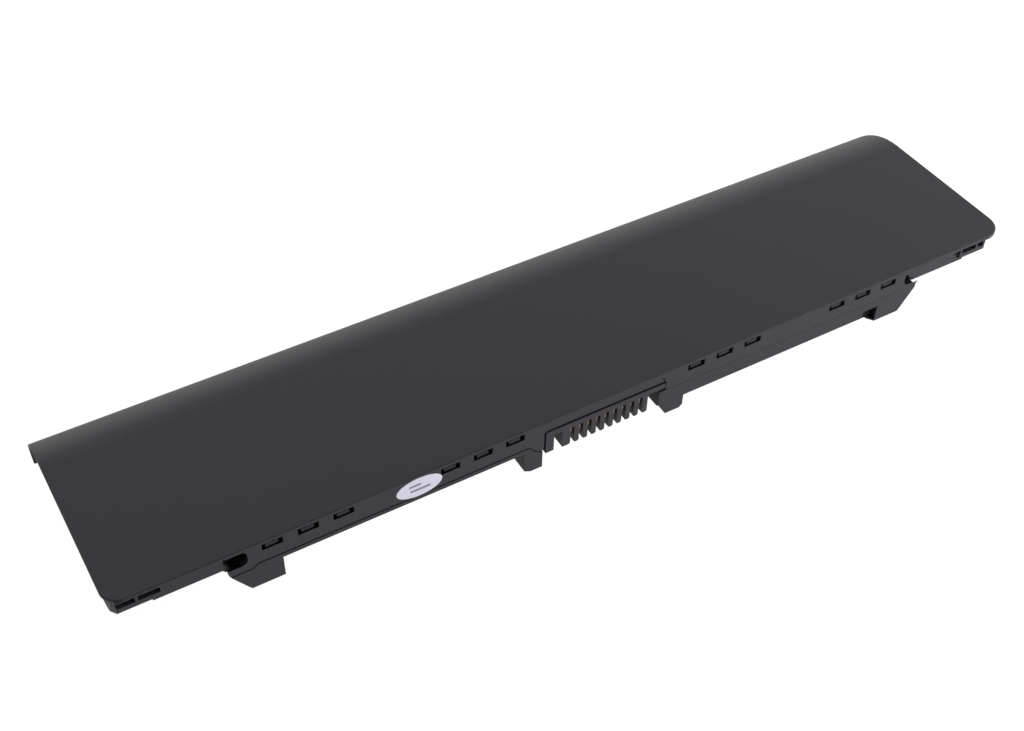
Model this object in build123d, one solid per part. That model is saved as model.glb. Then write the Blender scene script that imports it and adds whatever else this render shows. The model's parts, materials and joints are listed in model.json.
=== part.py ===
from build123d import *
import math
import os

# Laptop battery pack in millimetres. While a piece is modelled, x runs along the pack from the middle
# of the case, y runs back from the front wall and z runs up from the underside. save() then moves each
# piece so that the origin is the middle of the underside of the whole pack. A level whose name ends in
# drop is measured down from the top of the cover, as read off the front wall.

# Cells: two rows, joined end to end in series and side by side in parallel
cell_diameter = 18.2
cell_length = 65.0
cells_in_row = 3
row_gap = 0.3
joint_gap = 0.7
end_gap = 0.5
button_radius = 3.0
button_height = 0.7
ring_thickness = 0.2
ring_inset = 0.5
ring_sides = 16

# Walls, gaps and clearances
cover_wall = 1.2
case_wall = 1.2
floor_wall = 1.0
cover_gap = 0.4
floor_gap = 0.2
fit = 0.2

# Cover: flat top, rolled rear edge, plate reaching past the case at both ends
overhang_left = 1.55
overhang_right = 4.35
lip_wall = 0.6
corner_left = 3.7
corner_right = 5.0
edge_round = 0.25
end_taper = 0.6
roll_radius = 16.5
roll_offset = 1.5
rear_seam = 6.0
rear_corner = 5.0
rear_tongue = 3.0

# Front ledge, its seam and its lips
ledge_depth = 8.7
seam_drop = 5.2
seam_gap_left = 0.35
seam_gap_right = 0.08
step_drop = 6.0
step_inset = 4.7
step_run = 1.1
dip_drop = 7.3
dip_run = 1.85
dip_width = 1.5
dip_fall = 0.4
wall_slant = 0.4
left_lip_drop = 6.5
right_lip_drop = 9.5
lip_round = 0.8
tongue_wall = 1.0

# Snap windows in the front wall and the tabs that stand in them
windows_in_group = 3
window_pitch = 7.0
window_width = 4.1
window_height = 1.5
window_drop = 0.8
inner_group = 28.05
outer_group_inset = 15.95
sill_draft = 1.4
tab_width = 2.5
tab_inset = 0.6
tab_height = 0.8
tab_setback = 0.3

# Wings at both ends of the front wall, with a recessed wall and a slotted foot
wing_length = 19.9
wing_recess = 0.75
wing_drop = 4.35
wing_lap = 4.0
wing_slant = 2.85
wing_toe = 1.0
foot_length = 8.5
foot_lap = 2.0
foot_drop = 2.95
foot_post = 0.5
foot_inset = 1.3
slot_length = 4.0
slot_height = 1.25
slot_depth = 1.4
rim_wall = 1.0
notch_length = 4.1
notch_top_drop = 0.8
notch_bottom_drop = 4.3
notch_round = 1.2

# Hooks that reach down into the bay
outer_hook_length = 10.2
outer_hook_drop = 11.5
outer_hook_slant = 3.6
hook_round = 0.5
hook_depth = 6.0
inner_hook_drop = 12.3
hook_jog = 0.7
left_hook_gap = 0.25
left_hook_length = 4.05
right_hook_length = 6.2
right_hook_slant = 2.0
right_hook_corner = 3.8
relief_length = 4.0
relief_drop = 7.2
relief_depth = 1.6
relief_lip = 0.2
gusset_length = 2.8
end_chamfer = 1.0
tray_inset = 0.4

# Blade connector: comb housing with a key post, and its contacts
contact_count = 9
contact_pitch = 2.0
slot_width = 0.85
end_tooth_left = 1.95
end_tooth_right = 1.3
key_gap = 1.82
key_post = 1.85
hook_gap = 2.75
bar_reach = 4.2
opening_drop = 2.8
opening_gap = 0.5
bar_end_gap = 0.05
bar_height = 1.35
comb_drop = 9.2
post_drop = 9.0
tooth_round = 0.4
comb_setback = 0.1
comb_depth = 4.8
comb_back = 1.3
brow_depth = 0.2
brow_drop = 0.9
brow_round = 1.4
brow_inset = 0.5
contact_sheet = 0.2
contact_play = 0.03
contact_drop = 8.4
contact_front = 0.25
contact_stagger = 1.6
contact_bow = 0.14
contact_slant = 1.0
contact_slant_drop = 6.0
tail_length = 2.1

# Protection board on the ledge, behind the connector
board_thickness = 0.8
board_top_drop = 4.4
board_overlap = 0.9
board_past_link = 29.0
rest_width = 1.2
rest_inset = 5.0
leg_width = 0.4
leg_pitch = 1.27
leg_reach = 0.8
leg_thickness = 0.2
chip_taper = 5.0
chip_gap = 1.3
chip_depth = 4.4
chip_height = 1.2
gauge_length = 8.0
protection_length = 6.5
transistor_length = 5.0
transistor_depth = 3.8
transistor_height = 1.5
fuse_length = 7.0
fuse_depth = 4.0
fuse_height = 1.8
sense_length = 6.3
sense_depth = 3.2
sense_height = 0.7
capacitors_in_row = 3
capacitor_pitch = 1.6
capacitor_length = 1.6
capacitor_width = 0.8

# Nickel strips, leads, insulation and sticker
strip_thickness = 0.2
strip_height = 7.0
strip_reach = 4.5
arm_height = 1.6
foot_tab = 2.4
lead_tab = 5.0
lead_diameter = 1.6
lead_overlap = 4.0
bead_diameter = 2.2
bead_width = 2.0
bead_leg = 0.5
bead_spread = 1.2
paper_thickness = 0.2
paper_size = 12.0
foam_thickness = 0.28
foam_width = 6.0
tape_thickness = 0.15
tape_width = 3.0
ridge_height = 4.0
ridge_base = 5.0
ridge_top = 2.0
sticker_length = 9.6
sticker_height = 4.9
sticker_drop = 2.95
sticker_place = 41.7
sticker_thickness = 0.1

# Sizes that follow from those above
cell_radius = cell_diameter / 2
cell_step = cell_length + joint_gap
bay_length = cells_in_row * cell_length + (cells_in_row - 1) * joint_gap + 2 * end_gap
half_bay = bay_length / 2
half_case = half_bay + case_wall
thickness = cover_wall + cover_gap + cell_diameter + floor_gap + floor_wall
cell_height = floor_wall + floor_gap + cell_radius
trough_radius = cell_height
front_row = ledge_depth + trough_radius
rear_row = front_row + cell_diameter + row_gap
roll_axis = rear_row - roll_offset
roll_height = thickness - roll_radius
width = roll_axis + roll_radius
cover_left = -half_case - overhang_left
cover_right = half_case + overhang_right
block_end = half_case - wing_length
rear_face = roll_axis + math.sqrt(roll_radius**2 - (rear_seam - roll_height) ** 2)
tongue_front = cover_wall + fit
wing_front = wing_recess + cover_wall + fit
wing_lip_drop = board_top_drop + floor_wall + fit
tray_end = half_case - tray_inset
slots_half = (contact_count - 1) / 2 * contact_pitch + slot_width / 2
comb_left = -slots_half - end_tooth_left
comb_right = slots_half + end_tooth_right
post_left = comb_left - key_gap - key_post
bar_right = comb_right + bar_reach
opening_left = post_left - opening_gap
opening_right = bar_right + bar_end_gap
bar_top_drop = opening_drop + opening_gap
slot_top_drop = bar_top_drop + bar_height
left_hook_end = opening_left - left_hook_gap
right_hook_start = comb_right + hook_gap
ledge_end = block_end - notch_length - notch_round
outer_hook_end = block_end - wall_slant
outer_hook_start = outer_hook_end - outer_hook_length
housing_back = comb_setback + comb_depth + comb_back
board_rear = ledge_depth + floor_wall + board_overlap
board_front = tongue_front + tongue_wall + fit
board_half = (cells_in_row - 2) * cell_step / 2 + board_past_link


def below(drop):
    """Height of a level that lies this far below the top of the cover."""
    return thickness - drop


def outline(*points, radius=0):
    """Face inside a closed run of points, with one corner radius or a list of them."""
    if radius == 0:
        return make_face(Polyline(*points, close=True))
    return make_face(FilletPolyline(*points, radius=radius, close=True))


def along_x(profile, start, end):
    """Prism of a y, z profile between two x positions."""
    return extrude(Plane.YZ.offset(start) * profile, end - start, dir=(1, 0, 0))


def along_y(profile, start, end):
    """Prism of an x, z profile between two y positions."""
    return extrude(Plane.XZ.offset(-start) * profile, end - start, dir=(0, 1, 0))


def along_z(profile, start, end):
    """Prism of an x, y profile between two z positions."""
    return extrude(Plane.XY.offset(start) * profile, end - start, dir=(0, 0, 1))


def block(xs, ys, zs):
    """Box between pairs of x, y and z positions."""
    size = [high - low for low, high in (xs, ys, zs)]
    middle = [(high + low) / 2 for low, high in (xs, ys, zs)]
    return Pos(*middle) * Box(*size)


def on_side(side, near, far):
    """Pair of x positions at these distances from the middle, on the left (-1) or the right (1)."""
    return tuple(sorted((side * near, side * far)))


def window_places():
    """Middles of the snap windows along the front wall."""
    places = []
    for group in (inner_group, block_end - outer_group_inset):
        for index in range(windows_in_group):
            place = group + (index - (windows_in_group - 1) / 2) * window_pitch
            places += [-place, place]
    return sorted(places)


def seam_left(gap):
    """Points of the seam left of the connector: a step near the outer hook and a dip at the inner one."""
    step = -block_end + step_inset
    dip = opening_left - dip_width - dip_run
    return [
        (-block_end + wall_slant, below(step_drop + gap)),
        (step, below(step_drop + gap)),
        (step + step_run, below(seam_drop + gap)),
        (dip, below(seam_drop + gap)),
        (dip + dip_run, below(dip_drop + gap)),
        (opening_left, below(dip_drop + dip_fall + gap)),
    ]


def cover_plate():
    """Flat plate and rolled rear edge, rounded along the rim and thin where nothing stands under it."""
    rear_end = min(roll_height, rear_seam) - 1
    plate = along_x(
        outline(
            (0, below(cover_wall)),
            (0, thickness),
            (width, thickness),
            (width, rear_end),
            (width - cover_wall, rear_end),
            (width - cover_wall, below(cover_wall)),
            radius=[0, 0, roll_radius, 0, 0, roll_radius - cover_wall],
        ),
        cover_left,
        cover_right,
    )
    corners = plate.edges().filter_by(Axis.Z).group_by(Axis.Y)[0].sort_by(Axis.X)
    plate = fillet(corners[0], corner_left)
    corners = plate.edges().filter_by(Axis.Z).group_by(Axis.Y)[0].sort_by(Axis.X)
    plate = fillet(corners[-1], corner_right)
    top = plate.faces().filter_by(Axis.Z).sort_by(Axis.Z)[-1]
    rim = [edge for edge in top.edges() if edge.center().Y < roll_axis - fit]
    plate = fillet(rim, min(edge_round, lip_wall / 2))
    under_lip = outline(
        (-1, rear_end - 1),
        (-1, below(lip_wall)),
        (width - lip_wall, below(lip_wall)),
        (width - lip_wall, rear_end - 1),
        radius=[0, 0, roll_radius - lip_wall, 0],
    )
    plate -= along_x(under_lip, cover_left - 1, -half_case)
    plate -= along_x(under_lip, half_case, cover_right + 1)
    under_edge = (below(2 * cover_wall), below(lip_wall))
    for side in (-1, 1):
        plate -= block(on_side(side, block_end, half_case + fit), (-1, wing_recess), under_edge)
    lean = outline(
        (cover_left - 1, below(lip_wall)),
        (cover_left, below(lip_wall)),
        (cover_left + end_taper, rear_seam),
        (cover_left - 1, rear_seam),
    )
    plate -= along_y(lean, roll_axis, width + 1)
    whole = (cover_left - 1, cover_right + 1)
    return plate - block(whole, (roll_axis, width + 1), (rear_end - 1, rear_seam + fit))


def cover_front_wall():
    """Front wall with the connector opening and the shallow brow over it."""
    wall = along_y(
        outline(
            *seam_left(0),
            (opening_left, below(opening_drop)),
            (opening_right, below(opening_drop)),
            (opening_right, below(seam_drop)),
            (block_end - wall_slant, below(seam_drop)),
            (block_end, below(notch_bottom_drop)),
            (block_end, below(cover_wall / 2)),
            (-block_end, below(cover_wall / 2)),
            (-block_end, below(notch_bottom_drop)),
        ),
        0,
        cover_wall,
    )
    brow = outline(
        (opening_left + brow_inset, below(opening_drop + 2 * brow_round)),
        (opening_left + brow_inset, below(brow_drop)),
        (opening_right - brow_inset, below(brow_drop)),
        (opening_right - brow_inset, below(opening_drop + 2 * brow_round)),
        radius=brow_round,
    )
    return wall - along_y(brow, -1, brow_depth)


def falling_sill(drop):
    """Profile of the room behind an opening whose sill, at this drop, falls away to the rear."""
    return outline(
        (0, below(drop)),
        (tongue_front, below(drop)),
        (tongue_front, below(drop + sill_draft * tongue_front)),
    )


def cover_windows():
    """Cuts for the snap windows, which reach up into the edge of the plate."""
    bottom = window_drop + window_height
    cuts = []
    for place in window_places():
        span = (place - window_width / 2, place + window_width / 2)
        cuts.append(block(span, (-1, tongue_front), (below(bottom), below(window_drop))))
        cuts.append(along_x(falling_sill(bottom), *span))
    return cuts


def cover_notches():
    """Cuts for the rounded latch notches at both ends of the front wall."""
    cuts = []
    for side in (-1, 1):
        inner = block_end - notch_length
        outer = block_end + 2 * notch_round
        notch = outline(
            (side * inner, below(notch_top_drop)),
            (side * outer, below(notch_top_drop)),
            (side * outer, below(notch_bottom_drop)),
            (side * inner, below(notch_bottom_drop)),
            radius=notch_round,
        )
        cuts.append(along_y(notch, -1, tongue_front))
        span = on_side(side, inner + notch_round, block_end + fit)
        cuts.append(along_x(falling_sill(notch_bottom_drop), *span))
    return cuts


def wing_wall(side):
    """Outline of the recessed wall: the left one has a toe that meets the sill of the notch, the right one
    laps behind the notch with a slanted end."""
    top = below(lip_wall / 2)
    foot_joint = half_case - foot_length + foot_lap
    if side < 0:
        inner_end = [
            (-block_end - fit, top),
            (-block_end - fit, below(foot_drop)),
            (-block_end + wing_toe, below(seam_drop - fit)),
            (-block_end, below(seam_drop - fit)),
            (-block_end - wing_toe / 2, below(wing_drop)),
        ]
    else:
        inner_end = [(block_end - wing_lap, top), (block_end - wing_lap + wing_slant, below(wing_drop))]
    return outline(*inner_end, (side * foot_joint, below(wing_drop)), (side * foot_joint, top))


def cover_wing(side):
    """Recessed wall, foot and end rim of one wing of the cover."""
    foot_end = half_case if side < 0 else half_case - foot_inset
    foot = on_side(side, half_case - foot_length, foot_end)
    rim = on_side(side, half_case - rim_wall, half_case)
    levels = (below(foot_drop), below(lip_wall / 2))
    wing = along_y(wing_wall(side), wing_recess, wing_recess + cover_wall)
    wing += block(foot, (0, wing_recess + cover_wall), levels)
    return wing + block(rim, (slot_depth, roll_axis), levels)


def cover_slots(side):
    """Cuts for the two blind slots of a wing foot; the left outer slot runs out round the corner."""
    first = half_case - foot_length + foot_post
    second = first + slot_length + foot_post
    far_end = half_case + 1 if side < 0 else half_case - foot_inset - foot_post
    levels = (below(lip_wall + slot_height), below(lip_wall))
    cuts = block(on_side(side, first, first + slot_length), (-1, slot_depth), levels)
    return cuts + block(on_side(side, second, far_end), (-1, slot_depth), levels)


def top_cover():
    """One moulding: plate, rolled rear edge, front wall and both wings."""
    cover = cover_plate() + cover_front_wall()
    for cut in cover_windows() + cover_notches():
        cover -= cut
    for side in (-1, 1):
        cover += cover_wing(side)
        cover -= cover_slots(side)
    return cover


def case_tray():
    """Cell tray: round front trough, flat underside, rounded rear edge and a rear tongue."""
    seat = below(board_top_drop + board_thickness + fit)
    inner_trough = trough_radius - floor_wall
    inner_corner = rear_corner - floor_wall
    tray = along_x(
        outline(
            (ledge_depth, seat),
            (ledge_depth, 0),
            (rear_face, 0),
            (rear_face, rear_seam),
            (rear_face - case_wall, rear_seam),
            (rear_face - case_wall, floor_wall),
            (ledge_depth + floor_wall, floor_wall),
            (ledge_depth + floor_wall, seat),
            radius=[0, trough_radius, rear_corner, 0, 0, inner_corner, inner_trough, 0],
        ),
        -tray_end,
        tray_end,
    )
    tongue_top = rear_seam + rear_tongue
    inner_radius = roll_radius - cover_wall - fit
    tongue_back = roll_axis + math.sqrt(inner_radius**2 - (tongue_top - roll_height) ** 2)
    tongue = outline(
        (tongue_back - tongue_wall, rear_corner),
        (rear_face - case_wall / 2, rear_corner),
        (rear_face - case_wall / 2, rear_seam),
        (tongue_back, rear_seam),
        (tongue_back, tongue_top),
        (tongue_back - tongue_wall, tongue_top),
    )
    tray += along_x(tongue, -half_bay, half_bay)
    middle = (front_row + rear_row) / 2
    ridge = outline(
        (middle - ridge_base / 2, floor_wall / 2),
        (middle + ridge_base / 2, floor_wall / 2),
        (middle + ridge_top / 2, floor_wall + ridge_height),
        (middle - ridge_top / 2, floor_wall + ridge_height),
    )
    return tray + along_x(ridge, -half_bay + 3 * end_gap, half_bay - 3 * end_gap)


def case_end(side):
    """End wall of the tray, clear of the rolled edge of the cover above the rear seam."""
    top = below(foot_drop + fit)
    wall = outline(
        (wing_front, top),
        (wing_front, below(wing_lip_drop)),
        (ledge_depth, below(wing_lip_drop)),
        (ledge_depth, 0),
        (rear_face, 0),
        (rear_face, top),
        radius=[0, 0, 0, trough_radius, rear_corner, 0],
    )
    outside = Pos((roll_axis + width) / 2, rear_seam) * Rectangle(
        width - roll_axis + 2, thickness - rear_seam, align=(Align.CENTER, Align.MIN)
    )
    outside -= Pos(roll_axis, roll_height) * Circle(roll_radius - cover_wall - fit)
    return along_x(wall - outside, *on_side(side, half_bay, tray_end))


def closed_tray():
    """Tray with both end walls, chamfered round their outer edges."""
    tray = case_tray() + case_end(-1) + case_end(1)
    ends = tray.faces().filter_by(Axis.X).group_by(Axis.X)
    edges = [edge for face in ends[0] + ends[-1] for edge in face.edges()]
    front_corner = below(wing_lip_drop + fit)
    low = [edge for edge in edges if edge.center().Z < rear_seam - fit]
    front = [edge for edge in edges if edge.center().Y < ledge_depth + fit and edge.center().Z < front_corner]
    return chamfer(low + front, min(end_chamfer, floor_wall * 0.9))


def case_ledge(start, end, front, lip_drop, tongue):
    """Stretch of the front ledge: lip, floor and the tongue that stands behind the cover's wall."""
    bottom = below(lip_drop)
    tongue_top = below(cover_wall + fit)
    back = ledge_depth + floor_wall / 2
    profile = outline(
        (front, below(seam_drop)),
        (front, bottom),
        (back, bottom),
        (back, bottom + floor_wall),
        (tongue + tongue_wall, bottom + floor_wall),
        (tongue + tongue_wall, tongue_top),
        (tongue, tongue_top),
        (tongue, below(seam_drop)),
    )
    return along_x(profile, start, end)


def case_hooks():
    """Four hooks under the front ledge, two slanted outer ones and two by the connector, and a gusset."""
    top = below(seam_drop)
    hooks = []
    for side in (-1, 1):
        shape = outline(
            (side * outer_hook_end, top),
            (side * outer_hook_end, below(step_drop)),
            (side * (outer_hook_end - outer_hook_slant), below(outer_hook_drop)),
            (side * outer_hook_start, below(outer_hook_drop)),
            (side * outer_hook_start, top),
            radius=[0, hook_round, hook_round, 0, 0],
        )
        hooks.append(along_y(shape, 0, hook_depth))
    gusset = outline(
        (outer_hook_start + fit, top),
        (outer_hook_start + fit, below(outer_hook_drop)),
        (outer_hook_start, below(outer_hook_drop)),
        (outer_hook_start - gusset_length, below(right_lip_drop)),
        (outer_hook_start - gusset_length, top),
    )
    hooks.append(along_y(gusset, 0, hook_depth))
    left_start = left_hook_end - left_hook_length
    left = outline(
        (left_start, top),
        (left_start, below(inner_hook_drop - hook_jog)),
        (left_start + 2 * hook_jog, below(inner_hook_drop)),
        (left_hook_end, below(inner_hook_drop)),
        (left_hook_end, top),
    )
    right_end = right_hook_start + right_hook_length
    right = outline(
        (right_hook_start, top),
        (right_hook_start, below(inner_hook_drop - right_hook_corner)),
        (right_hook_start + right_hook_slant, below(inner_hook_drop)),
        (right_end - hook_jog, below(inner_hook_drop)),
        (right_end, below(inner_hook_drop - hook_jog)),
        (right_end, top),
    )
    hooks.append(along_y(left, 0, hook_depth))
    hooks.append(along_y(right, 0, hook_depth))
    return hooks


def lower_case():
    """One moulding: tray, end walls, front ledge, hooks and snap tabs."""
    ledge_left = opening_left - fit
    case = closed_tray()
    case += case_ledge(-ledge_end, ledge_left, 0, left_lip_drop, tongue_front)
    right_ledge = case_ledge(right_hook_start, ledge_end, 0, right_lip_drop, tongue_front)
    lip_edge = right_ledge.edges().filter_by(Axis.X).group_by(Axis.Z)[0].sort_by(Axis.Y)[0]
    case += fillet(lip_edge, min(lip_round, floor_wall * 0.9))
    shelf_bottom = below(left_lip_drop)
    case += block(
        (ledge_left - fit, right_hook_start + fit),
        (housing_back + fit, ledge_depth + floor_wall / 2),
        (shelf_bottom, shelf_bottom + floor_wall),
    )
    for side in (-1, 1):
        span = on_side(side, ledge_end - fit, half_bay + fit)
        case += case_ledge(*span, wing_front, wing_lip_drop, wing_front + tongue_wall)
    for hook in case_hooks():
        case += hook
    case -= case_seam_room()
    case -= case_front_cuts()
    for place in window_places():
        case += snap_tab(place)
    for side in (-1, 1):
        case += board_rests(side)
    return case


def case_seam_room():
    """Room in front of the tongue for the cover's wall, down to the seam."""
    left = outline(
        (-block_end - 1, below(step_drop + seam_gap_left)),
        *seam_left(seam_gap_left)[1:],
        (opening_left, thickness),
        (-block_end - 1, thickness),
    )
    right = outline(
        (right_hook_start - 1, below(seam_drop + seam_gap_right)),
        (block_end + 1, below(seam_drop + seam_gap_right)),
        (block_end + 1, thickness),
        (right_hook_start - 1, thickness),
    )
    return along_y(left, -1, tongue_front) + along_y(right, -1, tongue_front)


def case_front_cuts():
    """Relief beside the right outer hook, tongue openings at the notches, and room for the housing."""
    relief = outline(
        (outer_hook_start - relief_length, below(relief_drop)),
        (outer_hook_start, below(relief_drop)),
        (outer_hook_start, below(outer_hook_drop - relief_lip)),
        (outer_hook_start - gusset_length, below(right_lip_drop - relief_lip)),
        (outer_hook_start - relief_length, below(right_lip_drop - relief_lip)),
    )
    cuts = along_y(relief, -1, relief_depth)
    for side in (-1, 1):
        span = on_side(side, ledge_end, block_end)
        cuts += block(span, (-1, wing_front), (below(seam_drop), thickness))
    housing_room = (post_left - fit, bar_right + fit)
    levels = (below(slot_top_drop + fit), thickness)
    return cuts + block(housing_room, (-1, housing_back + fit), levels)


def snap_tab(place):
    """Wedge on the tongue that stands in one window of the cover."""
    top = max(window_drop + tab_inset, cover_wall + fit)
    root = tongue_front + tongue_wall / 2
    wedge = outline(
        (root, below(top)),
        (tab_setback, below(top)),
        (tab_setback, below(top + tab_height)),
        (root, below(top + 2 * tab_height)),
    )
    return along_x(wedge, place - tab_width / 2, place + tab_width / 2)


def board_rests(side):
    """Two ribs on the ledge floor that carry the board on one side of the connector."""
    drop = left_lip_drop if side < 0 else right_lip_drop
    board_bottom = below(board_top_drop + board_thickness)
    inner = right_hook_start + right_hook_length + rest_inset
    outer = board_half - rest_inset
    levels = (below(drop) + floor_wall / 2, board_bottom)
    depth = (tongue_front + tongue_wall / 2, ledge_depth + floor_wall / 2)
    ribs = block(on_side(side, inner, inner + rest_width), depth, levels)
    return ribs + block(on_side(side, outer - rest_width, outer), depth, levels)


def contact_places():
    """Middles of the connector slots along the comb."""
    return [(index - (contact_count - 1) / 2) * contact_pitch for index in range(contact_count)]


def comb_outline():
    """Front outline of the comb: a bar from which the end teeth and the narrow teeth hang."""
    tip = below(comb_drop)
    root = below(slot_top_drop)
    half_slot = slot_width / 2
    points = [(comb_left, below(bar_top_drop)), (comb_left, tip)]
    radii = [0, tooth_round]
    for place in contact_places():
        points += [(place - half_slot, tip), (place - half_slot, root)]
        points += [(place + half_slot, root), (place + half_slot, tip)]
        radii += [tooth_round, 0, 0, tooth_round]
    points += [(comb_right, tip), (comb_right, below(bar_top_drop))]
    radii += [tooth_round, 0]
    return outline(*points, radius=radii)


def connector_housing():
    """Comb housing with its top bar, key post and the windows that let the contact tails out."""
    comb_end = comb_setback + comb_depth
    bar = (below(slot_top_drop), below(bar_top_drop))
    housing = along_y(comb_outline(), comb_setback, comb_end)
    housing += block((comb_left, comb_right), (comb_end, housing_back), (below(contact_drop), bar[1]))
    housing += block((post_left, bar_right), (comb_setback, housing_back), bar)
    post = (post_left, post_left + key_post)
    housing += block(post, (comb_setback, comb_depth / 2), (below(post_drop), bar[1]))
    tail_levels = (below(slot_top_drop + fit), below(board_top_drop - 2 * contact_sheet))
    for place in contact_places():
        span = (place - slot_width / 2, place + slot_width / 2)
        housing -= block(span, (comb_end - 4 * contact_sheet, housing_back + 1), tail_levels)
    return housing


def contact(place):
    """Stamped contact: two beams of unequal length, slanted below, a back web and a tail on the board."""
    half = slot_width / 2 - contact_play
    back = comb_setback + comb_depth - contact_sheet
    inner = half - contact_sheet
    left = contact_front
    right = contact_front + contact_stagger
    bend = right + (back - right) / 3
    straight = right + 2 * (back - right) / 3
    plan = outline(
        (place - half, back),
        (place + half, back),
        (place + half, straight),
        (place + half - contact_bow, bend),
        (place + half, right),
        (place + inner, right),
        (place + inner - contact_bow, bend),
        (place + inner, straight),
        (place + inner, back - contact_sheet),
        (place - inner, back - contact_sheet),
        (place - inner, straight),
        (place - inner + contact_bow, bend),
        (place - inner, left),
        (place - half, left),
        (place - half + contact_bow, bend),
        (place - half, straight),
    )
    tail_levels = (below(board_top_drop), below(board_top_drop - contact_sheet))
    web_levels = (below(slot_top_drop + fit), tail_levels[1])
    piece = along_z(plan, below(contact_drop), web_levels[0])
    slant = outline(
        (contact_front - fit, below(contact_slant_drop)),
        (contact_front, below(contact_slant_drop)),
        (contact_front + contact_slant, below(contact_drop)),
        (contact_front + contact_slant, below(contact_drop) - fit),
        (contact_front - fit, below(contact_drop) - fit),
    )
    piece -= along_x(slant, place - slot_width, place + slot_width)
    piece += block((place - half, place + half), (back - contact_sheet, back), web_levels)
    tail_end = housing_back + fit + tail_length
    return piece + block((place - inner, place + inner), (back - contact_sheet, tail_end), tail_levels)


def circuit_board():
    """Long narrow board with a notch that clears the connector."""
    notch_left = post_left - 2 * fit
    notch_right = bar_right + 2 * fit
    notch_back = housing_back + fit
    plan = outline(
        (-board_half, board_front),
        (notch_left, board_front),
        (notch_left, notch_back),
        (notch_right, notch_back),
        (notch_right, board_front),
        (board_half, board_front),
        (board_half, board_rear),
        (-board_half, board_rear),
    )
    bottom = below(board_top_drop + board_thickness)
    return along_z(plan, bottom, bottom + board_thickness)


def chip(place, length, depth, height):
    """Moulded chip on the board: drafted body, with flat legs along its front and rear edges."""
    legs = round(length / leg_pitch)
    middle = (board_front + board_rear) / 2
    base = below(board_top_drop)
    plan = Plane.XY.offset(base) * Pos(place, middle) * Rectangle(length, depth)
    body = extrude(plan, height, taper=chip_taper)
    reach = depth / 2 + leg_reach
    for index in range(legs):
        x = place + (index - (legs - 1) / 2) * leg_pitch
        span = (x - leg_width / 2, x + leg_width / 2)
        body += block(span, (middle - reach, middle + reach), (base, base + leg_thickness))
    return body


def small_part(place, y, length, depth, height):
    """Plain brick-shaped part soldered to the board."""
    base = below(board_top_drop)
    span = (place - length / 2, place + length / 2)
    return block(span, (y - depth / 2, y + depth / 2), (base, base + height))


def board_parts():
    """Chips, transistors, fuse, resistor and capacitors, named for what they do."""
    middle = (board_front + board_rear) / 2
    capacitors = []
    for index in range(capacitors_in_row):
        place = bar_right + (index + 1) * capacitor_pitch
        y = board_front + capacitor_length
        for side in (-1, 1):
            size = (capacitor_width, capacitor_length, capacitor_width)
            capacitors.append(small_part(side * place, y, *size))
    past_capacitors = bar_right + (capacitors_in_row + 1) * capacitor_pitch
    gauge = past_capacitors + gauge_length / 2
    discharge = -past_capacitors - transistor_length / 2
    charge = link_place(0) - strip_thickness - chip_gap - transistor_length / 2
    fuse = charge - (transistor_length + fuse_length) / 2 - chip_gap
    protection = link_place(cells_in_row - 2) + foot_tab + chip_gap + protection_length / 2
    sense = protection + (protection_length + sense_length) / 2 + chip_gap
    return {
        "board_fuse": small_part(fuse, middle, fuse_length, fuse_depth, fuse_height),
        "charge_transistor": chip(charge, transistor_length, transistor_depth, transistor_height),
        "discharge_transistor": chip(discharge, transistor_length, transistor_depth, transistor_height),
        "sense_resistor": small_part(sense, middle, sense_length, sense_depth, sense_height),
        "protection_chip": chip(protection, protection_length, chip_depth, chip_height),
        "gauge_chip": chip(gauge, gauge_length, chip_depth, chip_height),
        "board_capacitors": Compound(capacitors),
    }


def cell(start, y):
    """Sealed can from its flat negative end to the button at its positive end."""
    shoulder = cell_length - button_height
    profile = outline(
        (0, 0),
        (cell_radius, 0),
        (cell_radius, shoulder),
        (button_radius, shoulder),
        (button_radius, cell_length),
        (0, cell_length),
    )
    can = revolve(Plane.XZ * profile, Axis.Z)
    return Pos(start, y, cell_height) * Rot(0, 90, 0) * can


def cell_start(index):
    """Place of a cell's negative end, counted from the left."""
    return -half_bay + end_gap + index * cell_step


def link_place(index):
    """Place of the far leg of the strip between one pair of cells and the next."""
    return cell_start(index) + cell_step - strip_thickness


def cell_rings():
    """Insulating rings round the buttons of all cells."""
    shape = RegularPolygon(cell_radius - ring_inset, ring_sides)
    shape -= RegularPolygon(button_radius + 2 * fit, ring_sides // 2, major_radius=False)
    rings = []
    for index in range(cells_in_row):
        start = cell_start(index) + cell_length - button_height
        for row in (front_row, rear_row):
            rings.append(Pos(0, row, cell_height) * along_x(shape, start, start + ring_thickness))
    return Compound(rings)


def strip_plate(start):
    """Flat nickel plate across the ends of a pair of cells, with an arm that rises to the board."""
    top = below(board_top_drop)
    half = strip_height / 2
    plate = outline(
        (front_row - strip_reach, cell_height - half),
        (rear_row + strip_reach, cell_height - half),
        (rear_row + strip_reach, cell_height + half),
        (front_row + strip_reach / 2, cell_height + half),
        (board_rear + 2 * fit, top + arm_height),
        (board_rear - foot_tab, top + arm_height),
        (board_rear - foot_tab, top),
        (board_rear + 2 * fit, top),
        (front_row - strip_reach, cell_height),
    )
    return along_x(plate, start, start + strip_thickness)


def strip_tab(start, end):
    """Foot of a strip's arm, bent flat on the board or under a lead."""
    levels = (below(board_top_drop), below(board_top_drop) + strip_thickness)
    return block((start, end), (board_rear - foot_tab, board_rear - foot_tab / 6), levels)


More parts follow.
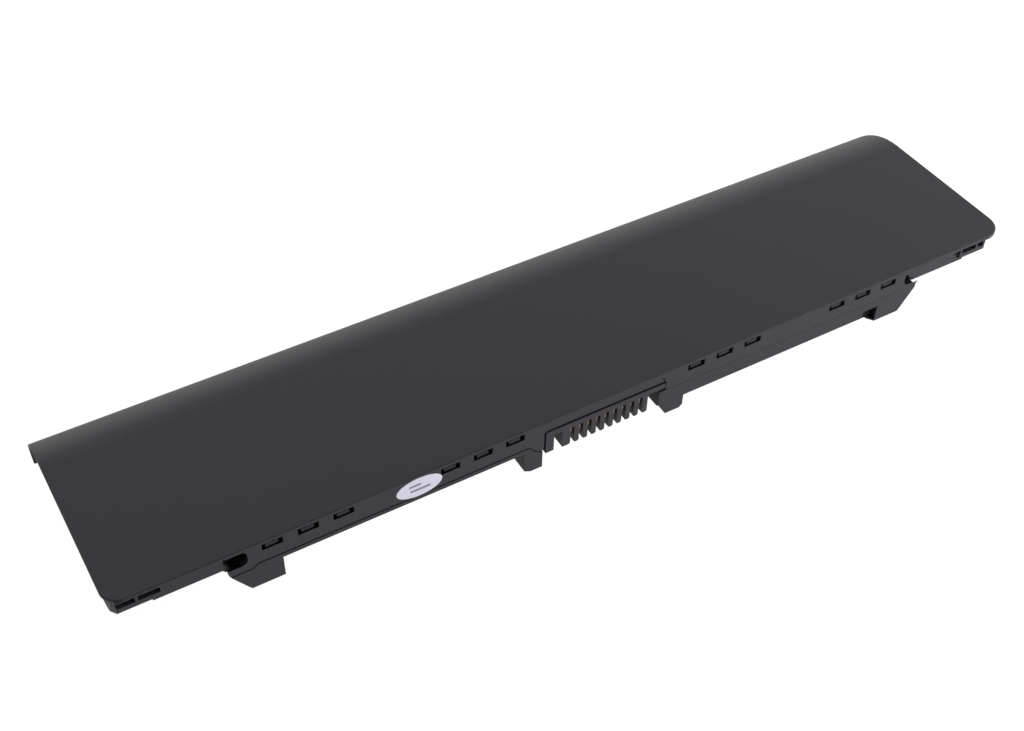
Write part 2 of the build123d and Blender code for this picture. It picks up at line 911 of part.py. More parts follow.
def link_strip(index):
    """Folded strip between one pair of cells and the next, with a foot on the board."""
    start = cell_start(index) + cell_length
    far = link_place(index)
    fold = block(
        (start, start + joint_gap),
        (rear_row + strip_reach, rear_row + strip_reach + strip_thickness),
        (cell_height - strip_height / 2, cell_height + strip_height / 2),
    )
    near_plate = block(
        (start, start + strip_thickness),
        (front_row - strip_reach, rear_row + strip_reach),
        (cell_height - strip_height / 2, cell_height + strip_height / 2),
    )
    return near_plate + fold + strip_plate(far) + strip_tab(far, far + foot_tab)


def end_strip(side):
    """Strip on the outer ends of the first or last pair, with a tab under its lead."""
    if side < 0:
        start = cell_start(0) - strip_thickness
        return strip_plate(start) + strip_tab(start, start + lead_tab)
    start = cell_start(cells_in_row - 1) + cell_length
    end = start + strip_thickness
    return strip_plate(start) + strip_tab(end - lead_tab, end)


def lead(side):
    """Insulated lead, straight along the ledge from an end strip's tab to the end of the board."""
    height = below(board_top_drop) + strip_thickness + lead_diameter / 2 + fit / 4
    near = half_bay - end_gap - strip_thickness - fit
    far = board_half - lead_overlap
    section = Pos(board_rear - foot_tab / 2, height) * Circle(lead_diameter / 2)
    return along_x(section, *on_side(side, far, near))


def thermistor():
    """Sensing bead against a front cell, with two legs down to the board."""
    top = below(board_top_drop)
    reach = cell_radius + bead_diameter / 2 + fit
    height = below(cover_wall + fit) - bead_diameter / 2 - fit
    back = front_row - math.sqrt(reach**2 - (height - cell_height) ** 2)
    place = -cell_step / 4
    disc = Pos(back, height) * Circle(bead_diameter / 2)
    bead = along_x(disc, place - bead_width / 2, place + bead_width / 2)
    leg = outline(
        (back, height - bead_leg / 2),
        (back, height + bead_leg / 2),
        (board_rear - 2 * bead_leg, top + bead_leg),
        (board_rear - 4 * bead_leg, top + bead_leg),
        (board_rear - 4 * bead_leg, top),
        (board_rear - 2 * bead_leg, top),
    )
    for shift in (-bead_spread / 2, bead_spread / 2):
        bead += along_x(leg, place + shift - bead_leg / 2, place + shift + bead_leg / 2)
    return bead


def end_paper(side):
    """Insulating paper between an end strip and the end wall."""
    gap = (end_gap - strip_thickness - paper_thickness) / 2
    xs = on_side(side, half_bay - gap - paper_thickness, half_bay - gap)
    middle = (front_row + rear_row) / 2
    half = (rear_row - front_row + paper_size) / 2
    levels = (cell_height - paper_size / 2, cell_height + paper_size / 2)
    return block(xs, (middle - half, middle + half), levels)


def foam_strip(middle):
    """Foam between one row of cells and the cover."""
    top = below(cover_wall + (cover_gap - foam_thickness) / 2)
    span = (-half_bay + end_gap, half_bay - end_gap)
    return block(span, (middle - foam_width / 2, middle + foam_width / 2), (top - foam_thickness, top))


def cell_tape(middle):
    """Adhesive tape between one row of cells and the flat of the tray."""
    bottom = floor_wall + (floor_gap - tape_thickness) / 2
    span = (-half_bay + end_gap, half_bay - end_gap)
    depth = (middle - tape_width / 2, middle + tape_width / 2)
    return block(span, depth, (bottom, bottom + tape_thickness))


def inspection_sticker():
    """Small oval sticker on the front wall."""
    oval = Pos(-sticker_place, below(sticker_drop)) * Ellipse(sticker_length / 2, sticker_height / 2)
    return along_y(oval, -sticker_thickness, 0)


def save(name, shape):
    """Move a piece to the pack's own origin and write it."""
    middle = (cover_left + cover_right) / 2, (rear_face - sticker_thickness) / 2
    placed = Pos(-middle[0], -middle[1], 0) * shape
    export_step(placed, f"parts/{name}.step")


os.makedirs("parts", exist_ok=True)
save("top_cover", top_cover())
save("lower_case", lower_case())
save("connector_housing", connector_housing())
for number, place in enumerate(contact_places(), start=1):
    save(f"contact_{number}", contact(place))
save("circuit_board", circuit_board())
for name, shape in board_parts().items():
    save(name, shape)
for index in range(cells_in_row):
    save(f"cell_front_{index + 1}", cell(cell_start(index), front_row))
    save(f"cell_rear_{index + 1}", cell(cell_start(index), rear_row))
save("cell_rings", cell_rings())
save("negative_strip", end_strip(-1))
save("positive_strip", end_strip(1))
for index in range(cells_in_row - 1):
    save(f"link_strip_{index + 1}", link_strip(index))
save("negative_lead", lead(-1))
save("positive_lead", lead(1))
save("thermistor", thermistor())
save("end_paper_left", end_paper(-1))
save("end_paper_right", end_paper(1))
save("foam_strip_front", foam_strip(front_row))
save("foam_strip_rear", foam_strip(roll_axis - foam_width / 2))
save("cell_tape_front", cell_tape(front_row + tape_width / 2))
save("cell_tape_rear", cell_tape(rear_row))
save("inspection_sticker", inspection_sticker())
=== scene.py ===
import json
import bpy
import numpy as np
from mathutils import Matrix, Vector


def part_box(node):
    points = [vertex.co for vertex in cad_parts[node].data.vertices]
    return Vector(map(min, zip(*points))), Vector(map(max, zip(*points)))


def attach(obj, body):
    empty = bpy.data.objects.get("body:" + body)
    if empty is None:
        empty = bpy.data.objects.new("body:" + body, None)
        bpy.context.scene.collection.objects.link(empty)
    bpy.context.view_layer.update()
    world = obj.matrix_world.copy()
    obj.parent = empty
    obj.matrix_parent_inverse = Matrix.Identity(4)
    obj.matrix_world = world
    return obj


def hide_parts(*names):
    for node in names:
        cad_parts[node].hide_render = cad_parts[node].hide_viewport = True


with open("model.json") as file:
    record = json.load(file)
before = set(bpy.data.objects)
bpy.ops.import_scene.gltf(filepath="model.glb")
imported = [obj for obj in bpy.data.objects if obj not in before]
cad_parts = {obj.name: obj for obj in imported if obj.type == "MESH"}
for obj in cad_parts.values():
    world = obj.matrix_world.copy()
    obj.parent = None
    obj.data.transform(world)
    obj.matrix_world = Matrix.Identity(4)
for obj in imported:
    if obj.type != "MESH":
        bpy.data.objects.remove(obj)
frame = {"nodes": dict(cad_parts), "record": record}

nodes = frame["nodes"]
scene = bpy.context.scene
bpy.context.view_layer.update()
mm = 0.001
print("frame loaded:", len(nodes), "nodes")


def addNode(tree, kind, **settings):
    node = tree.nodes.new(kind)
    for name, value in settings.items():
        if name in node.inputs:
            node.inputs[name].default_value = value
        else:
            setattr(node, name, value)
    return node


def feed(tree, socket, value):
    if isinstance(value, bpy.types.NodeSocket):
        tree.links.new(value, socket)
    elif value is not None:
        socket.default_value = value


def mathNode(tree, operation, first, second=None, clamp=False):
    node = tree.nodes.new("ShaderNodeMath")
    node.operation, node.use_clamp = operation, clamp
    feed(tree, node.inputs[0], first)
    feed(tree, node.inputs[1], second)
    return node.outputs[0]


def mixColour(tree, factor, first, second):
    node = addNode(tree, "ShaderNodeMix", data_type="RGBA")
    for index, value in ((0, factor), (6, first), (7, second)):  # the node's sockets for colours
        feed(tree, node.inputs[index], value)
    return node.outputs[2]


def spread(tree, value, low, high, fromLow=0.0, fromHigh=1.0):
    node = tree.nodes.new("ShaderNodeMapRange")
    for index, number in enumerate((value, fromLow, fromHigh, low, high)):
        feed(tree, node.inputs[index], number)
    return node.outputs["Result"]


def newGroup(name, inputs, outputs):
    tree = bpy.data.node_groups.new(name, "ShaderNodeTree")
    for socketName, kind, value in inputs:
        socket = tree.interface.new_socket(socketName, in_out="INPUT", socket_type=kind)
        if value is not None:
            socket.default_value = value
    for socketName, kind in outputs:
        tree.interface.new_socket(socketName, in_out="OUTPUT", socket_type=kind)
    return tree, tree.nodes.new("NodeGroupInput").outputs, tree.nodes.new("NodeGroupOutput").inputs


grainForm = {
    "hillScale": 0.33,  # noise scales, times that of the fine grain
    "pitScale": 0.6,
    "hillHeight": 0.6,  # times the height of the fine grain
    "pitReach": 0.28,  # from a pit's middle, where 1 is about one cell of the pattern
}


# spark-eroded mould grain: two sizes of noise added up, less a few pits
def mouldGrainGroup():
    tree, given, put = newGroup(
        "mouldGrain",
        [
            ("Vector", "NodeSocketVector", None),
            ("Grain", "NodeSocketFloat", 0.3),  # millimetres across one grain
            ("Pits", "NodeSocketFloat", 0.3),
        ],
        [("Height", "NodeSocketFloat"), ("Shade", "NodeSocketFloat")],
    )
    perMetre = mathNode(tree, "DIVIDE", 1 / mm, given["Grain"])
    fine = addNode(tree, "ShaderNodeTexNoise", Detail=3.0, Roughness=0.6)
    coarse = addNode(tree, "ShaderNodeTexNoise", Detail=2.0, Roughness=0.5)
    pits = addNode(tree, "ShaderNodeTexVoronoi", Randomness=1.0)
    for texture, times in ((fine, 1.0), (coarse, grainForm["hillScale"]), (pits, grainForm["pitScale"])):
        feed(tree, texture.inputs["Vector"], given["Vector"])
        feed(tree, texture.inputs["Scale"], mathNode(tree, "MULTIPLY", perMetre, times))
    pitHere = mathNode(tree, "LESS_THAN", pits.outputs["Distance"], grainForm["pitReach"])
    pitDepth = mathNode(tree, "MULTIPLY", pitHere, given["Pits"])
    hills = mathNode(tree, "MULTIPLY", coarse.outputs["Fac"], grainForm["hillHeight"])
    height = mathNode(tree, "ADD", fine.outputs["Fac"], hills)
    feed(tree, put["Height"], mathNode(tree, "SUBTRACT", height, pitDepth))
    both = mathNode(tree, "ADD", fine.outputs["Fac"], coarse.outputs["Fac"])
    feed(tree, put["Shade"], mathNode(tree, "MULTIPLY", both, 0.5))
    return tree


edgeForm = {
    "samples": 6,
    "gain": 3.0,  # how soon a turned normal counts as a full edge
}


# rounded edges: the normal rolls over each corner, and the mask is high where it does
def softEdgeGroup():
    tree, given, put = newGroup(
        "softEdge",
        [("Round", "NodeSocketFloat", 0.15 * mm)],
        [("Normal", "NodeSocketVector"), ("Edge", "NodeSocketFloat")],
    )
    bevel = addNode(tree, "ShaderNodeBevel", samples=edgeForm["samples"])
    feed(tree, bevel.inputs["Radius"], given["Round"])
    geometry = tree.nodes.new("ShaderNodeNewGeometry")
    dot = addNode(tree, "ShaderNodeVectorMath", operation="DOT_PRODUCT")
    feed(tree, dot.inputs[0], bevel.outputs["Normal"])
    feed(tree, dot.inputs[1], geometry.outputs["Normal"])
    turned = mathNode(tree, "SUBTRACT", 1.0, dot.outputs["Value"])
    feed(tree, put["Normal"], bevel.outputs["Normal"])
    feed(tree, put["Edge"], mathNode(tree, "MULTIPLY", turned, edgeForm["gain"], clamp=True))
    return tree


streakForm = {
    "broadScale": 0.12,  # noise scale of the broad shading, times that of the fine streaks
    "range": (0.3, 0.7),  # where most of the shade lies
}


# streaks: noise that is longer along some axes, as paper fibre, rolling marks and brushing are
def streaksGroup():
    tree, given, put = newGroup(
        "streaks",
        [
            ("Vector", "NodeSocketVector", None),
            ("Size", "NodeSocketFloat", 0.3),  # millimetres across one streak
            ("Stretch", "NodeSocketVector", (1.0, 1.0, 1.0)),  # times longer along each axis
        ],
        [("Height", "NodeSocketFloat"), ("Shade", "NodeSocketFloat")],
    )
    shrunk = addNode(tree, "ShaderNodeVectorMath", operation="DIVIDE")
    feed(tree, shrunk.inputs[0], given["Vector"])
    feed(tree, shrunk.inputs[1], given["Stretch"])
    fine = addNode(tree, "ShaderNodeTexNoise", Detail=4.0, Roughness=0.65)
    broad = addNode(tree, "ShaderNodeTexNoise", Detail=1.0, Roughness=0.4)
    perMetre = mathNode(tree, "DIVIDE", 1 / mm, given["Size"])
    for texture, times in ((fine, 1.0), (broad, streakForm["broadScale"])):
        feed(tree, texture.inputs["Vector"], shrunk.outputs["Vector"])
        feed(tree, texture.inputs["Scale"], mathNode(tree, "MULTIPLY", perMetre, times))
    both = mathNode(tree, "ADD", fine.outputs["Fac"], broad.outputs["Fac"])
    feed(tree, put["Height"], fine.outputs["Fac"])
    feed(tree, put["Shade"], mathNode(tree, "MULTIPLY", both, 0.5))
    return tree


mouldGrain = mouldGrainGroup()
softEdge = softEdgeGroup()
streaks = streaksGroup()
print("node groups made")


def newMaterial(name):
    material = bpy.data.materials.new(name)
    material.use_nodes = True
    tree = material.node_tree
    shader = tree.nodes["Principled BSDF"]
    place = tree.nodes.new("ShaderNodeTexCoord")
    return material, tree, shader, place.outputs["Object"]


def placeGroup(tree, group, **values):
    node = tree.nodes.new("ShaderNodeGroup")
    node.node_tree = group
    for name, value in values.items():
        feed(tree, node.inputs[name], value)
    return node.outputs


def raiseGrain(tree, shader, height, strength, depth, normal=None):
    bump = addNode(tree, "ShaderNodeBump", Strength=strength, Distance=depth * mm)
    feed(tree, bump.inputs["Height"], height)
    feed(tree, bump.inputs["Normal"], normal)
    feed(tree, shader.inputs["Normal"], bump.outputs["Normal"])


def dress(names, material):
    for name in names:
        nodes[name].data.materials.clear()
        nodes[name].data.materials.append(material)


# moulded plastic: grain shades the colour and the gloss, and edges go paler, partly as rubbed wear and
# partly as a painted highlight along each edge
def mouldedPlastic(name, look):
    material, tree, shader, place = newMaterial(name)
    grain = placeGroup(tree, mouldGrain, Vector=place, Grain=look["grain"], Pits=look["pits"])
    corner = placeGroup(tree, softEdge, Round=look["round"] * mm)
    broad = addNode(tree, "ShaderNodeTexNoise", Scale=1 / (look["cloud"] * mm), Detail=2.0)
    feed(tree, broad.inputs["Vector"], place)
    shade = mixColour(tree, grain["Shade"], look["dark"], look["light"])
    cloud = spread(tree, broad.outputs["Fac"], 0.0, look["clouding"], *look["cloudRange"])
    shade = mixColour(tree, cloud, shade, look["light"])
    # paler edges: partly rubbed wear, partly a painted highlight where the normal rolls over a corner
    edgeWearAndHighlight = mathNode(tree, "MULTIPLY", corner["Edge"], look["edgeWearAndHighlightShare"])
    feed(tree, shader.inputs["Base Color"], mixColour(tree, edgeWearAndHighlight, shade, look["edgeWearAndHighlight"]))
    feed(tree, shader.inputs["Roughness"], spread(tree, grain["Shade"], *look["rough"]))
    raiseGrain(tree, shader, grain["Height"], look["bump"], look["depth"], corner["Normal"])
    shader.inputs["IOR"].default_value = look["ior"]
    return material


coverLook = {
    "dark": (0.0222, 0.0202, 0.0264, 1),
    "light": (0.0282, 0.0257, 0.0334, 1),
    # paler colour at the edges: rubbed wear and a painted edge highlight
    "edgeWearAndHighlight": (0.05, 0.049, 0.053, 1),
    "edgeWearAndHighlightShare": 0.25,
    "grain": 0.28,  # millimetres
    "pits": 0.25,
    "cloud": 30.0,  # millimetres across a faint cloud
    "clouding": 0.35,
    "cloudRange": (0.35, 0.7),
    "round": 0.15,  # millimetres
    "rough": (0.4, 0.52),
    "bump": 0.3,
    "depth": 0.03,  # millimetres
    "ior": 1.47,
}
caseLook = dict(coverLook, grain=0.34, pits=0.2, rough=(0.42, 0.55))
combLook = dict(coverLook, grain=0.2, pits=0.1, round=0.08, rough=(0.36, 0.46))
dress(["top_cover"], mouldedPlastic("coverPlastic", coverLook))
dress(["lower_case"], mouldedPlastic("casePlastic", caseLook))
dress(["connector_housing"], mouldedPlastic("combPlastic", combLook))
print("mouldings dressed")


# closed skin over rows of points: each row runs round into itself, quads join it to the next row, and one
# face each closes the first row and the last
def skinFaces(rows, columns):
    index = np.arange(rows * columns).reshape(rows, columns)
    ring = np.hstack([index, index[:, :1]])
    corners = (ring[:-1, :-1], ring[1:, :-1], ring[1:, 1:], ring[:-1, 1:])
    quads = np.stack(corners, axis=-1).reshape(-1, 4)
    return quads.tolist() + [index[0].tolist(), index[-1, ::-1].tolist()]


def newPiece(name, points, faces, material, replaced):
    mesh = bpy.data.meshes.new(name)
    mesh.from_pydata(points.tolist(), [], faces)
    mesh.polygons.foreach_set("use_smooth", np.ones(len(mesh.polygons), dtype=bool))
    mesh.materials.append(material)
    mesh.update()
    piece = bpy.data.objects.new(name, mesh)
    scene.collection.objects.link(piece)
    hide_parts(replaced)
    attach(piece, "root")


contactLook = {
    "bright": (0.9, 0.66, 0.54, 1),
    "dull": (0.5, 0.32, 0.25, 1),
    "streak": 0.12,  # millimetres
    "stretch": (1.0, 6.0, 1.0),
    "rough": (0.28, 0.46),
    "bump": 0.15,
    "depth": 0.01,  # millimetres, as are the lengths below
    "sheet": 0.2,
    "beam": 4.45,
    "height": 3.55,
    "stagger": 1.6,
    "bow": 0.14,
    "slant": 1.0,  # how far back the slanted lower front of a beam runs
    "slantRise": 2.4,
    "bend": 0.16,
    "corner": 0.04,
    "bowEnd": 0.85,  # share of a beam, from its front, that bows
    "stations": 32,  # along each beam
    "bendSteps": 6,
    "straightSteps": 4,
}


def contactCopper():
    material, tree, shader, place = newMaterial("contactCopper")
    look = contactLook
    marks = placeGroup(tree, streaks, Vector=place, Size=look["streak"], Stretch=look["stretch"])
    feed(tree, shader.inputs["Base Color"], mixColour(tree, marks["Shade"], look["dull"], look["bright"]))
    gloss = spread(tree, marks["Shade"], *look["rough"], *streakForm["range"])
    feed(tree, shader.inputs["Roughness"], gloss)
    raiseGrain(tree, shader, marks["Height"], look["bump"], look["depth"])
    shader.inputs["Metallic"].default_value = 1.0
    return material


# a strip swept along a path in plan: at each station a rounded rectangle, as thick as the sheet across
# the path and as tall as the levels there; its two ends are closed by one face each
def sweptStrip(path, low, high, sheet, corner):
    along = np.gradient(path, axis=0)
    along /= np.linalg.norm(along, axis=1)[:, None]
    across = np.stack([along[:, 1], -along[:, 0]], axis=1)
    low = np.broadcast_to(low, len(path))
    half = np.stack([np.full(len(path), sheet / 2), (high - low) / 2], axis=1) - corner
    steps = 3  # points round each of the four corners
    angle = (np.arange(4)[:, None] * np.pi / 2 + np.linspace(0, np.pi / 2, steps)).ravel()
    arc = np.stack([np.cos(angle), np.sin(angle)], axis=1)
    outer = np.repeat(np.array([(1, 1), (-1, 1), (-1, -1), (1, -1)]), steps, axis=0)
    section = corner * arc[None] + outer[None] * half[:, None]
    sideways = path[:, None] + across[:, None] * section[:, :, :1]
    height = (low + high)[:, None, None] / 2 + section[:, :, 1:]
    points = np.concatenate([sideways, height], axis=2).reshape(-1, 3)
    return points, skinFaces(len(path), len(arc))


# plan of a contact: down the left beam, round the web and up the right beam, which starts further back;
# each beam bows in by a raised cosine, so that it pinches the blade
def contactPath(middle, front, look):
    half = (look["width"] - look["sheet"] * mm) / 2
    bend = look["bend"] * mm
    step = np.linspace(0, 1, look["stations"])
    rightFront = front + look["stagger"] * mm
    web = front + (look["beam"] - look["sheet"] / 2) * mm
    leftY = front + (web - bend - front) * step
    rightY = rightFront + (web - bend - rightFront) * step

    def pinch(y):
        share = np.clip((y - front) / (web - bend - front) / look["bowEnd"], 0, 1)
        return look["bow"] * mm * 0.5 * (1 - np.cos(2 * np.pi * share))

    left = np.stack([middle - half + pinch(leftY), leftY], axis=1)
    right = np.stack([middle + half - pinch(rightY), rightY], axis=1)[::-1]
    turn = np.linspace(np.pi, np.pi / 2, look["bendSteps"])[1:]
    bendX = middle - half + bend + bend * np.cos(turn)
    bendY = web - bend + bend * np.sin(turn)
    leftBend = np.stack([bendX, bendY], axis=1)
    rightBend = np.stack([2 * middle - leftBend[:, 0], leftBend[:, 1]], axis=1)[::-1]
    return np.vstack([left, leftBend, rightBend, right[1:]])


# one contact: the two beams and their web, a riser behind the web, and a tail back to the board
def makeContact(number, material):
    name = f"contact_{number}"
    low, high = (np.array(corner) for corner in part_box(name))
    sheet = contactLook["sheet"] * mm
    corner = contactLook["corner"] * mm
    middle = (low[0] + high[0]) / 2
    look = dict(contactLook, width=high[0] - low[0])
    beamTop = low[2] + look["height"] * mm
    web = low[1] + look["beam"] * mm - sheet / 2
    path = contactPath(middle, low[1], look)
    inSlant = np.clip(1 - (path[:, 1] - low[1]) / (look["slant"] * mm), 0, 1)
    parts = [sweptStrip(path, low[2] + inSlant * look["slantRise"] * mm, beamTop, sheet, corner)]
    straight = np.linspace(0, 1, look["straightSteps"])[:, None]
    riser = np.array([low[0], web]) + straight * np.array([look["width"], 0])
    parts.append(sweptStrip(riser, beamTop - sheet, high[2], sheet, corner))
    tail = np.array([middle, web - sheet / 2]) + straight * np.array([0, high[1] - web + sheet / 2])
    parts.append(sweptStrip(tail, high[2] - sheet, high[2], look["width"] - 2 * sheet, corner))
    points = np.vstack([part[0] for part in parts])
    starts = np.cumsum([0] + [len(part[0]) for part in parts])
    faces = [[int(i + start) for i in face] for part, start in zip(parts, starts) for face in part[1]]
    newPiece(f"contactSpring{number}", points, faces, material, name)


copper = contactCopper()
contactNames = sorted(name for name in nodes if name.startswith("contact_"))
for number in range(1, len(contactNames) + 1):
    makeContact(number, copper)
print("contacts made:", len(contactNames))

stickerLook = {
    "paper": (0.72, 0.69, 0.83, 1),
    "fibre": (0.83, 0.8, 0.92, 1),
    "ink": (0.1, 0.09, 0.16, 1),
    "fibreSize": 0.2,  # millimetres
    "stretch": (3.0, 1.0, 1.0),
    "inkCover": (0.55, 0.95),
    "rough": (0.38, 0.55),
    "bump": 0.2,
    "depth": 0.01,  # millimetres
    "hub": 0.02,  # share of the radius that the middle face takes
    "rim": 0.03,  # share of the radius that the rim rounds off
    "rimSteps": 5,
    "steps": 96,
    "rings": 14,
    "bars": ((-0.9, 0.75, 1.2), (0.2, -0.55, 2.1)),  # middle across, middle up, half length, millimetres
    "barHalf": 0.3,  # millimetres
}


def stickerPaper(middle):
    material, tree, shader, place = newMaterial("stickerPaper")
    look = stickerLook
    fibre = placeGroup(tree, streaks, Vector=place, Size=look["fibreSize"], Stretch=look["stretch"])
    paper = mixColour(tree, fibre["Shade"], look["paper"], look["fibre"])
    split = tree.nodes.new("ShaderNodeSeparateXYZ")
    feed(tree, split.inputs[0], place)

    def within(axis, centre, half):
        away = mathNode(tree, "SUBTRACT", split.outputs[axis], centre)
        return mathNode(tree, "LESS_THAN", mathNode(tree, "ABSOLUTE", away), half)

    printed = 0.0
    for across, up, half in look["bars"]:
        inX = within("X", middle[0] + across * mm, half * mm)
        inZ = within("Z", middle[2] + up * mm, look["barHalf"] * mm)
        printed = mathNode(tree, "MAXIMUM", mathNode(tree, "MULTIPLY", inX, inZ), printed)
    inked = mathNode(tree, "MULTIPLY", printed, spread(tree, fibre["Height"], *look["inkCover"]))
    feed(tree, shader.inputs["Base Color"], mixColour(tree, inked, paper, look["ink"]))
    feed(tree, shader.inputs["Roughness"], spread(tree, fibre["Shade"], *look["rough"]))
    raiseGrain(tree, shader, fibre["Height"], look["bump"], look["depth"])
    return material


# oval sticker: round the oval by angle, and from the middle of the face over the rim to the middle of
# the back; the rim is a quarter of an ellipse, so that the edge is soft
def makeSticker():
    look = stickerLook
    low, high = (np.array(corner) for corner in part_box("inspection_sticker"))
    middle = (low + high) / 2
    radius = (high - low) / 2
    angle = np.linspace(0, 2 * np.pi, look["steps"], endpoint=False)
    face = np.linspace(look["hub"], 1 - look["rim"], look["rings"])
    turn = np.linspace(0, np.pi / 2, look["rimSteps"])[1:]
    share = np.concatenate([face, 1 - look["rim"] + look["rim"] * np.sin(turn), face[::-1]])
    flat = np.ones(len(face))
    depth = np.concatenate([-flat, 1 - 2 * np.cos(turn), flat])
    x = middle[0] + radius[0] * share[:, None] * np.cos(angle)[None, :]
    z = middle[2] + radius[2] * share[:, None] * np.sin(angle)[None, :]
    y = np.broadcast_to((middle[1] + radius[1] * depth)[:, None], x.shape)
    points = np.stack([x, y, z], axis=-1).reshape(-1, 3)
    faces = skinFaces(len(share), look["steps"])
    paper = stickerPaper(middle)
    newPiece("ovalSticker", points, faces, paper, "inspection_sticker")


makeSticker()
print("sticker made")


insideRelief = {
    "bump": 0.2,
    "depth": 0.02,  # millimetres
}


# plain finish for the pieces inside: streaks shade the colour and the gloss
def plainFinish(name, look):
    material, tree, shader, place = newMaterial(name)
    stretch = look.get("stretch", (1, 1, 1))
    marks = placeGroup(tree, streaks, Vector=place, Size=look["size"], Stretch=stretch)
    feed(tree, shader.inputs["Base Color"], mixColour(tree, marks["Shade"], look["dark"], look["light"]))
    gloss = spread(tree, marks["Shade"], *look["rough"], *streakForm["range"])
    feed(tree, shader.inputs["Roughness"], gloss)
    raiseGrain(tree, shader, marks["Height"], insideRelief["bump"], insideRelief["depth"])
    shader.inputs["Metallic"].default_value = look.get("metal", 0.0)
    return material


insideLooks = {  # material slot in the record: colours, streak size in millimetres, gloss
    "cell_sleeve": {
        "dark": (0.1, 0.3, 0.35, 1), "light": (0.14, 0.37, 0.42, 1), "size": 0.8, "rough": (0.22, 0.34),
    },
    "ring_paper": {
        "dark": (0.72, 0.7, 0.63, 1), "light": (0.84, 0.82, 0.76, 1), "size": 0.15, "rough": (0.7, 0.85),
    },
    "nickel": {
        "dark": (0.5, 0.48, 0.44, 1), "light": (0.68, 0.66, 0.62, 1), "size": 0.06, "rough": (0.28, 0.42),
        "stretch": (1, 12, 1), "metal": 1.0,
    },
    "insulating_paper": {
        "dark": (0.55, 0.48, 0.3, 1), "light": (0.67, 0.6, 0.41, 1), "size": 0.2, "rough": (0.7, 0.85),
        "stretch": (1, 4, 1),
    },
    "foam": {
        "dark": (0.018, 0.018, 0.018, 1), "light": (0.04, 0.04, 0.04, 1),
        "size": 0.25, "rough": (0.8, 0.95),
    },
    "adhesive_tape": {
        "dark": (0.7, 0.69, 0.64, 1), "light": (0.8, 0.79, 0.75, 1), "size": 0.5, "rough": (0.3, 0.45),
    },
    "board_laminate": {
        "dark": (0.012, 0.12, 0.05, 1), "light": (0.025, 0.19, 0.085, 1),
        "size": 0.7, "rough": (0.28, 0.4),
        "stretch": (5, 1, 1),
    },
    "chip_plastic": {
        "dark": (0.015, 0.015, 0.016, 1), "light": (0.026, 0.026, 0.028, 1),
        "size": 0.1, "rough": (0.5, 0.65),
    },
    "fuse_ceramic": {
        "dark": (0.7, 0.69, 0.64, 1), "light": (0.79, 0.78, 0.75, 1), "size": 0.3, "rough": (0.35, 0.5),
    },
    "resistor_ceramic": {
        "dark": (0.024, 0.024, 0.028, 1), "light": (0.038, 0.038, 0.044, 1),
        "size": 0.2, "rough": (0.35, 0.5),
    },
    "capacitor_ceramic": {
        "dark": (0.36, 0.24, 0.13, 1), "light": (0.47, 0.32, 0.19, 1), "size": 0.2, "rough": (0.4, 0.55),
    },
    "bead_epoxy": {
        "dark": (0.015, 0.015, 0.015, 1), "light": (0.027, 0.027, 0.027, 1),
        "size": 0.6, "rough": (0.15, 0.25),
    },
    "negative_insulation": {
        "dark": (0.015, 0.015, 0.015, 1), "light": (0.027, 0.027, 0.027, 1),
        "size": 0.3, "rough": (0.4, 0.5),
    },
    "positive_insulation": {
        "dark": (0.43, 0.022, 0.015, 1), "light": (0.57, 0.04, 0.027, 1),
        "size": 0.3, "rough": (0.4, 0.5),
    },
}
slotNodes = {}
for row in frame["record"]["subparts"]:
    slotNodes.setdefault(row["material_slot"], []).append(row["node"])
for slot, look in insideLooks.items():
    dress(slotNodes[slot], plainFinish(slot, look))
print("inner pieces dressed:", sum(len(slotNodes[slot]) for slot in insideLooks))

# studio: white floor, pale sky, soft lamps
studio = {
    "floorHalf": 4.0,  # metres
    "floorDrop": 0.0002,
    "floor": (0.85, 0.85, 0.85, 1),
    "floorRough": 0.9,
    "whiteShare": 0.82,  # share of the floor that shows as plain white to the eye
    "glossShare": 0.26,  # and in reflections
    "white": 1.18,  # strength of that share, which with the lit floor adds up to about 1
    "horizon": 0.4,
    "zenith": 0.14,
    "rearGlow": 1.15,  # added at the horizon behind the pack
    "skyBand": (0.1, 0.75),  # heights between which the sky goes from horizon to zenith
    "glowBand": (0.0, 0.7),  # and the glow fades
    "rearBand": (0.1, 0.7),  # how far back the glow begins and is whole
    "lamps": {  # place, size in metres, power in watts, and whether it shows in reflections
        "rearLeftSoftbox": ((-0.15, 0.35, 0.6), 0.6, 0.58, True),
        "rearRightSoftbox": ((0.35, 0.4, 0.55), 0.6, 0.32, True),
        "lowSoftbox": ((0.26, -0.37, 0.1), 0.25, 1.3, False),
        "sideSoftbox": ((0.55, -0.15, 0.3), 0.4, 2.1, True),
    },
}


# how much of a floor point is plain white: most to the eye, less in reflections, none for bounced light
def whiteHere(tree):
    path = tree.nodes.new("ShaderNodeLightPath").outputs
    seen = mathNode(tree, "MAXIMUM", path["Is Camera Ray"], path["Is Transmission Ray"])
    seen = mathNode(tree, "MULTIPLY", seen, studio["whiteShare"])
    mirrored = mathNode(tree, "MULTIPLY", path["Is Glossy Ray"], studio["glossShare"])
    return mathNode(tree, "MAXIMUM", seen, mirrored)


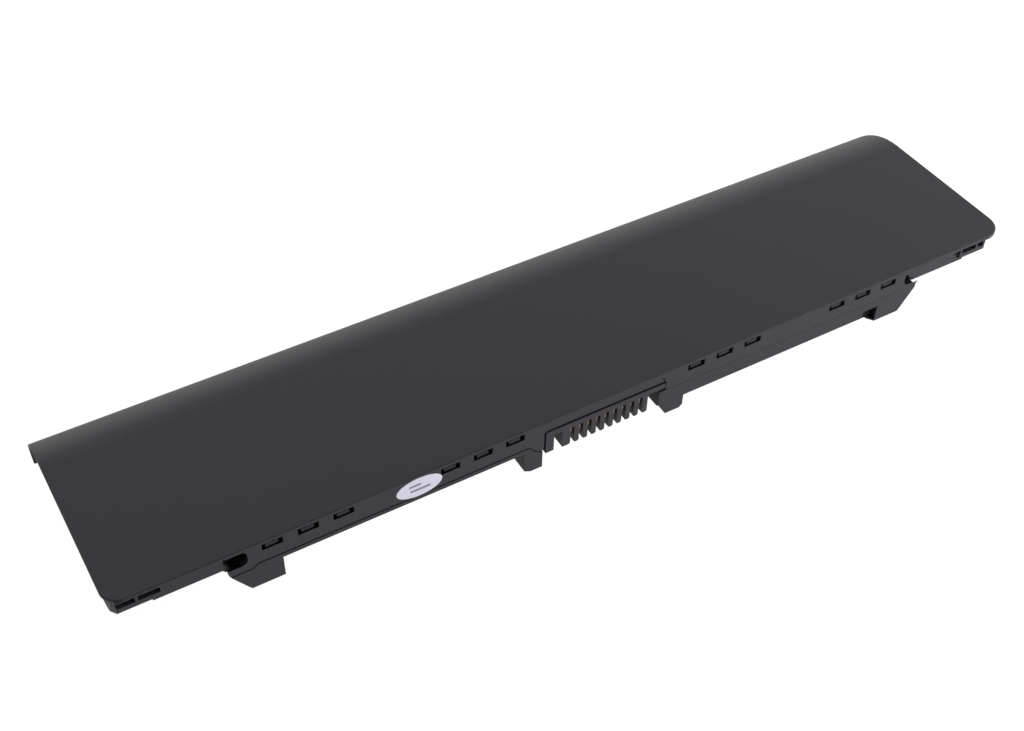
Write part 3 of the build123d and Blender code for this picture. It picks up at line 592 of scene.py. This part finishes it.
def whiteFloor():
    half = studio["floorHalf"]
    corners = np.array([(-1, -1), (1, -1), (1, 1), (-1, 1)]) * half
    points = np.column_stack([corners, np.full(4, -studio["floorDrop"])])
    mesh = bpy.data.meshes.new("floor")
    mesh.from_pydata(points.tolist(), [], [(0, 1, 2, 3)])
    floor = bpy.data.objects.new("floor", mesh)
    scene.collection.objects.link(floor)
    material, tree, shader = newMaterial("floorWhite")[:3]
    shader.inputs["Base Color"].default_value = studio["floor"]
    shader.inputs["Roughness"].default_value = studio["floorRough"]
    shader.inputs["Specular IOR Level"].default_value = 0.0
    glow = addNode(tree, "ShaderNodeEmission", Strength=studio["white"])
    mix = tree.nodes.new("ShaderNodeMixShader")
    feed(tree, mix.inputs[0], whiteHere(tree))
    feed(tree, mix.inputs[1], shader.outputs[0])
    feed(tree, mix.inputs[2], glow.outputs[0])
    feed(tree, tree.nodes["Material Output"].inputs["Surface"], mix.outputs[0])
    mesh.materials.append(material)


# sky: pale at the horizon and greyer overhead, with a glow low down behind the pack
def paleSky():
    scene.world = bpy.data.worlds.new("studio")
    scene.world.use_nodes = True
    tree = scene.world.node_tree
    split = tree.nodes.new("ShaderNodeSeparateXYZ")
    feed(tree, split.inputs[0], tree.nodes.new("ShaderNodeTexCoord").outputs["Generated"])
    level = spread(tree, split.outputs["Z"], studio["horizon"], studio["zenith"], *studio["skyBand"])
    low = spread(tree, split.outputs["Z"], studio["rearGlow"], 0.0, *studio["glowBand"])
    behind = spread(tree, split.outputs["Y"], 0.0, 1.0, *studio["rearBand"])
    level = mathNode(tree, "ADD", level, mathNode(tree, "MULTIPLY", low, behind))
    seen = tree.nodes.new("ShaderNodeLightPath").outputs["Is Camera Ray"]  # plain white to the eye
    feed(tree, tree.nodes["Background"].inputs["Strength"], mathNode(tree, "MAXIMUM", level, seen))
    tree.nodes["Background"].inputs["Color"].default_value = (1, 1, 1, 1)


def softLamps():
    for name, (place, size, power, mirrored) in studio["lamps"].items():
        data = bpy.data.lights.new(name, "AREA")
        data.shape, data.size, data.energy = "SQUARE", size, power
        lamp = bpy.data.objects.new(name, data)
        lamp.location = place
        lamp.visible_glossy = mirrored
        lamp.rotation_euler = (-Vector(place)).to_track_quat("-Z", "Y").to_euler()
        scene.collection.objects.link(lamp)


view = {  # camera, metres
    "place": (-0.1199, -0.18617, 0.2246),
    "ahead": (0.3670, 0.6096, -0.7027),
    "up": (0.3444, 0.6126, 0.7114),
    "lens": 51.32,
    "sensor": 36.0,  # millimetres, as is the lens
    "near": 0.01,
}


def aimCamera():
    data = bpy.data.cameras.new("camera")
    data.sensor_fit, data.sensor_width, data.lens = "HORIZONTAL", view["sensor"], view["lens"]
    data.clip_start = view["near"]
    camera = bpy.data.objects.new("camera", data)
    ahead = Vector(view["ahead"]).normalized()
    right = ahead.cross(Vector(view["up"])).normalized()
    turn = Matrix((right, right.cross(ahead), -ahead)).transposed().to_4x4()
    camera.matrix_world = Matrix.Translation(view["place"]) @ turn
    scene.collection.objects.link(camera)
    scene.camera = camera


whiteFloor()
paleSky()
softLamps()
aimCamera()
scene.view_settings.view_transform = "Standard"
print("studio ready")
